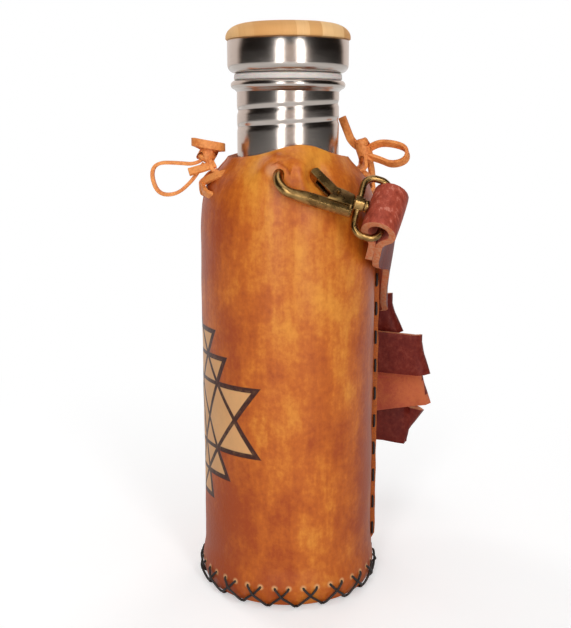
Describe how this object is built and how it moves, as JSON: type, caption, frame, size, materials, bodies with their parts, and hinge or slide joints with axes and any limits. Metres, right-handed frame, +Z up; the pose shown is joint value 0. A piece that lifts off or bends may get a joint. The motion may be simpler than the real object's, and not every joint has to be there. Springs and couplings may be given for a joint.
{
  "type": "bottle carrier",
  "caption": "Laced leather sleeve for a steel bottle, drawn in at the shoulder, with a shoulder strap bunched behind it on two trigger snap hooks.",
  "frame": {"origin": "middle of the base disc on the surface that the carrier stands on", "axes": "+Z up, -Y towards the front hook, +X towards the seam"},
  "size_m": [0.1496, 0.1398, 0.2596],
  "materials": {
    "tan_leather": "waxed, wet-moulded",
    "mahogany_leather": "dyed, smooth grain",
    "orange_thong": "plain cut thong",
    "black_thread": "waxed thread",
    "steel": "fine brushed",
    "bamboo": "sanded, oiled",
    "silicone": "translucent white",
    "plug_plastic": "moulded",
    "antique_brass": "antique, darkened",
    "spring_steel": "wire"
  },
  "bodies": {
    "carrier": {"sleeve": "tan_leather", "base_disc": "tan_leather", "base_lacing": "black_thread", "seam_stitching": "black_thread", "left_lacing": "orange_thong", "left_knot": "orange_thong", "left_side_loop": "orange_thong", "left_top_loop": "orange_thong", "left_tail": "orange_thong", "right_lacing": "orange_thong", "right_knot": "orange_thong", "right_side_loop": "orange_thong", "right_tail": "orange_thong", "right_short_tail": "orange_thong", "hook_body_front": "antique_brass", "hook_pin_front": "antique_brass", "hook_spring_front": "spring_steel", "hook_body_rear": "antique_brass", "hook_pin_rear": "antique_brass", "hook_spring_rear": "spring_steel", "strap_run": "mahogany_leather"},
    "bottle": {"bottle_shell": "steel"},
    "lid_seal": {"lid_gasket": "silicone"},
    "lid": {"lid_cup": "steel", "lid_bamboo_top": "bamboo", "lid_plug": "plug_plastic"},
    "front_gate": {"hook_gate_front": "antique_brass"},
    "rear_gate": {"hook_gate_rear": "antique_brass"},
    "front_ring": {"swivel_ring_front": "antique_brass", "strap_loop_front": "mahogany_leather", "strap_rivet_front": "antique_brass"},
    "rear_ring": {"swivel_ring_rear": "antique_brass", "strap_loop_rear": "mahogany_leather", "strap_rivet_rear": "antique_brass"}
  },
  "joints": [
    {"name": "bottle_turn", "type": "hinge", "parent": "carrier", "child": "bottle", "pos_m": [0, 0, 0], "axis": [0, 0, 1], "continuous": true},
    {"name": "lid_rise", "type": "slide", "parent": "bottle", "child": "lid_seal", "axis": [0, 0, 1], "range_m": [0, 0.01462]},
    {"name": "lid_turn", "type": "hinge", "parent": "lid_seal", "child": "lid", "pos_m": [0, 0, 0.24], "axis": [0, 0, 1], "range_deg": [0, 810]},
    {"name": "front_gate_hinge", "type": "hinge", "parent": "carrier", "child": "front_gate", "pos_m": [0.01334, -0.04138, 0.18622], "axis": [0.105, -0.6941, 0.7122], "range_deg": [0, 14], "stiffness_Nm_per_rad": 0.03, "springref_deg": -20.05},
    {"name": "front_ring_swivel", "type": "hinge", "parent": "carrier", "child": "front_ring", "pos_m": [0.0221, -0.04382, 0.18255], "axis": [0.9465, -0.1499, -0.2857], "range_deg": [-20, 20]},
    {"name": "rear_gate_hinge", "type": "hinge", "parent": "carrier", "child": "rear_gate", "pos_m": [0.01334, 0.04138, 0.18622], "axis": [-0.105, -0.6941, -0.7122], "range_deg": [0, 14], "stiffness_Nm_per_rad": 0.03, "springref_deg": -20.05},
    {"name": "rear_ring_swivel", "type": "hinge", "parent": "carrier", "child": "rear_ring", "pos_m": [0.0221, 0.04382, 0.18255], "axis": [0.9465, 0.1499, -0.2857], "range_deg": [-20, 8]}
  ],
  "couplings": [
    {"joint": "lid_turn", "follows": "lid_rise", "rad_per_m": 966.64}
  ]
}
